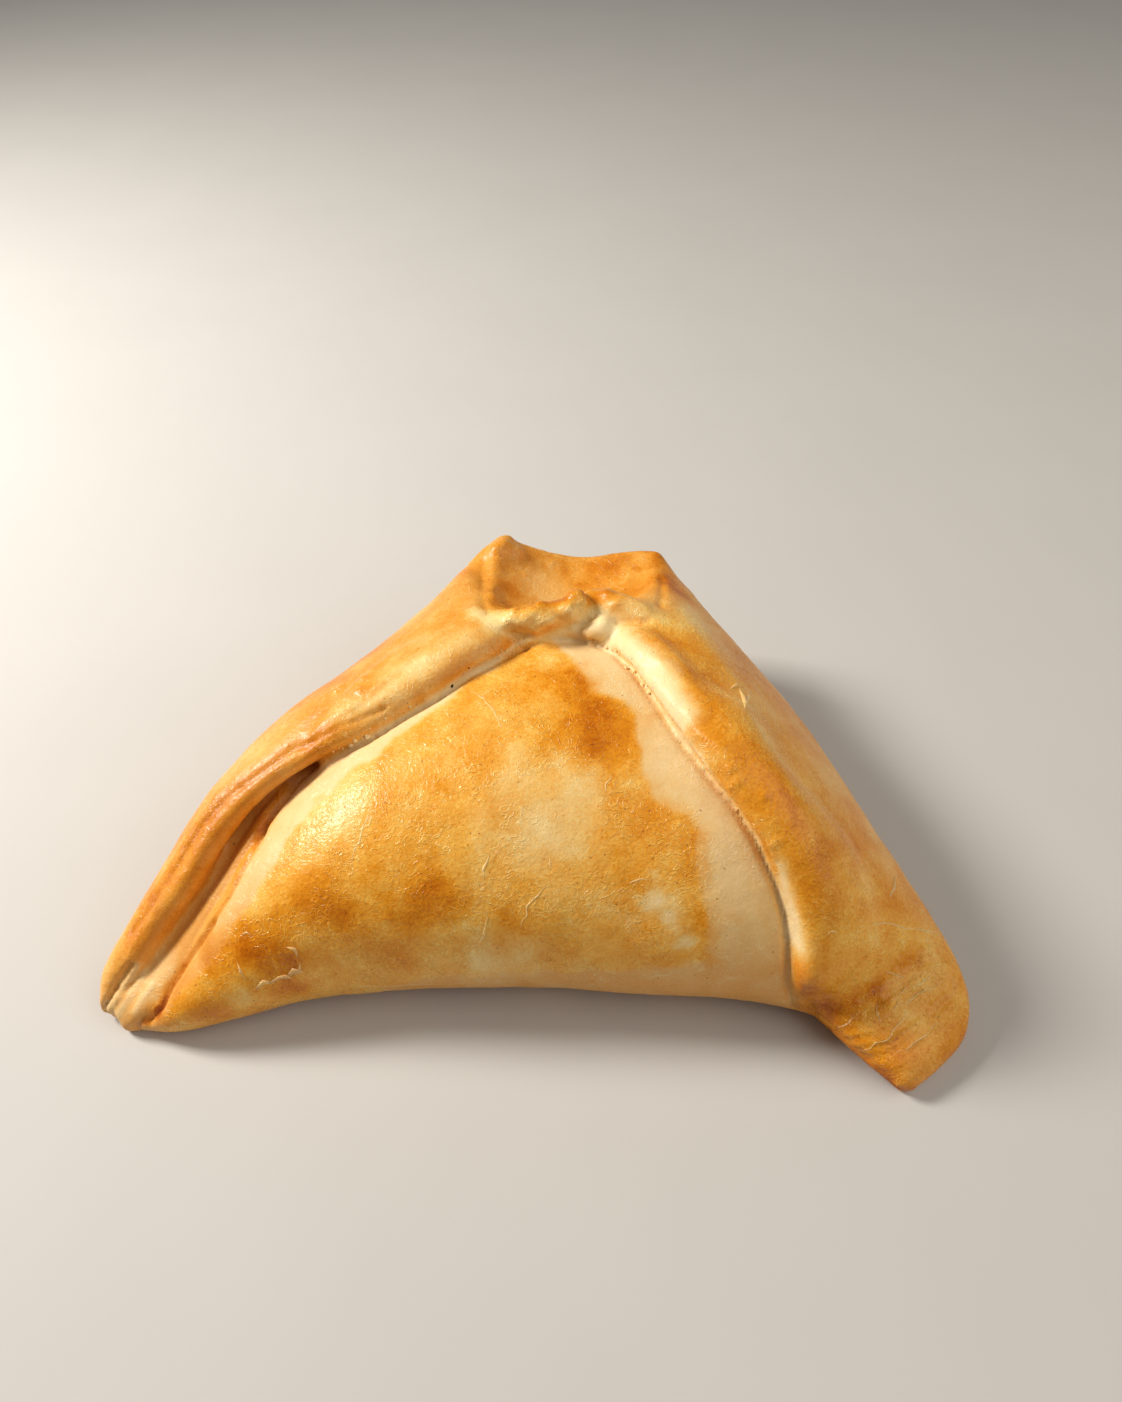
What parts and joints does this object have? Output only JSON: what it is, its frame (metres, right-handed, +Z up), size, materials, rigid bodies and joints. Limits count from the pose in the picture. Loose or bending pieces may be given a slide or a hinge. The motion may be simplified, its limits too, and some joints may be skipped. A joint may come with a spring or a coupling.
{
  "type": "empanada",
  "caption": "Half-moon baked pastry folded over its filling, with a domed belly and with its curved edge turned in over the top as flaps.",
  "frame": {"origin": "middle of the bounding box, on the flat base", "axes": "+X along the straight fold towards the flap that ends in a point, +Y from that fold to the back flap, +Z up"},
  "size_m": [0.1626, 0.1146, 0.0458],
  "materials": {
    "crust": "baked wheat dough, pale cream to golden brown under a patchy egg wash with a soft sheen"
  },
  "bodies": {
    "root": {"pastry": "crust"}
  },
  "joints": []
}
